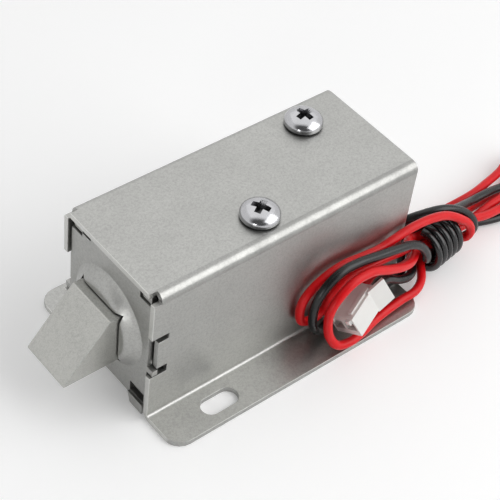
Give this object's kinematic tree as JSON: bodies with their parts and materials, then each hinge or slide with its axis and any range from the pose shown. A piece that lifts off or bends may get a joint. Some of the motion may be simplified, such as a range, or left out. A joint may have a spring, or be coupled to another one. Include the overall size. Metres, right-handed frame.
{
  "type": "solenoid lock",
  "caption": "Cabinet solenoid lock: a slanted spring bolt in a folded steel case with slotted flanges, a pull coil, two leads and a plug.",
  "frame": {"origin": "on the mounting plane, under the middle of the case and its bolt", "axes": "+X to the rear of the case, -X the way the bolt points, +Z from the mounting flanges to the screwed top, -Y the side where the leads come round the case"},
  "size_m": [0.1124, 0.0401, 0.0306],
  "materials": {
    "zinc_plated_steel": "satin zinc plating",
    "bright_steel": "bright nickel or zinc plating",
    "sintered_steel": "grainy sintered steel, zinc plated",
    "spring_steel": "drawn spring wire",
    "brass": "drawn tube",
    "enamelled_copper": "enamelled copper wire",
    "white_nylon": "moulded",
    "yellow_tape": "polyester tape",
    "red_pvc": "soft wire insulation",
    "black_pvc": "soft wire insulation",
    "tinned_contact": "tinned brass"
  },
  "bodies": {
    "lock_body": {"case_shell": "zinc_plated_steel", "front_plate": "zinc_plated_steel", "yoke": "zinc_plated_steel", "pole_plate": "zinc_plated_steel", "fixed_core": "zinc_plated_steel", "bobbin": "white_nylon", "coil_winding": "enamelled_copper", "coil_tape": "yellow_tape", "guide_tube": "brass", "return_spring": "spring_steel", "front_screw": "bright_steel", "rear_screw": "bright_steel", "red_wire": "red_pvc", "black_wire": "black_pvc", "wire_tie": "black_pvc", "plug_housing": "white_nylon", "red_terminal": "tinned_contact", "black_terminal": "tinned_contact"},
    "sliding_bolt": {"latch_bolt": "sintered_steel", "plunger": "bright_steel", "cross_pin": "bright_steel"}
  },
  "joints": [
    {"name": "bolt_slide", "type": "slide", "parent": "lock_body", "child": "sliding_bolt", "axis": [1, 0, 0], "range_m": [0, 0.009], "stiffness_N_per_m": 150, "springref_m": -0.01, "deforming": ["return_spring"]}
  ]
}
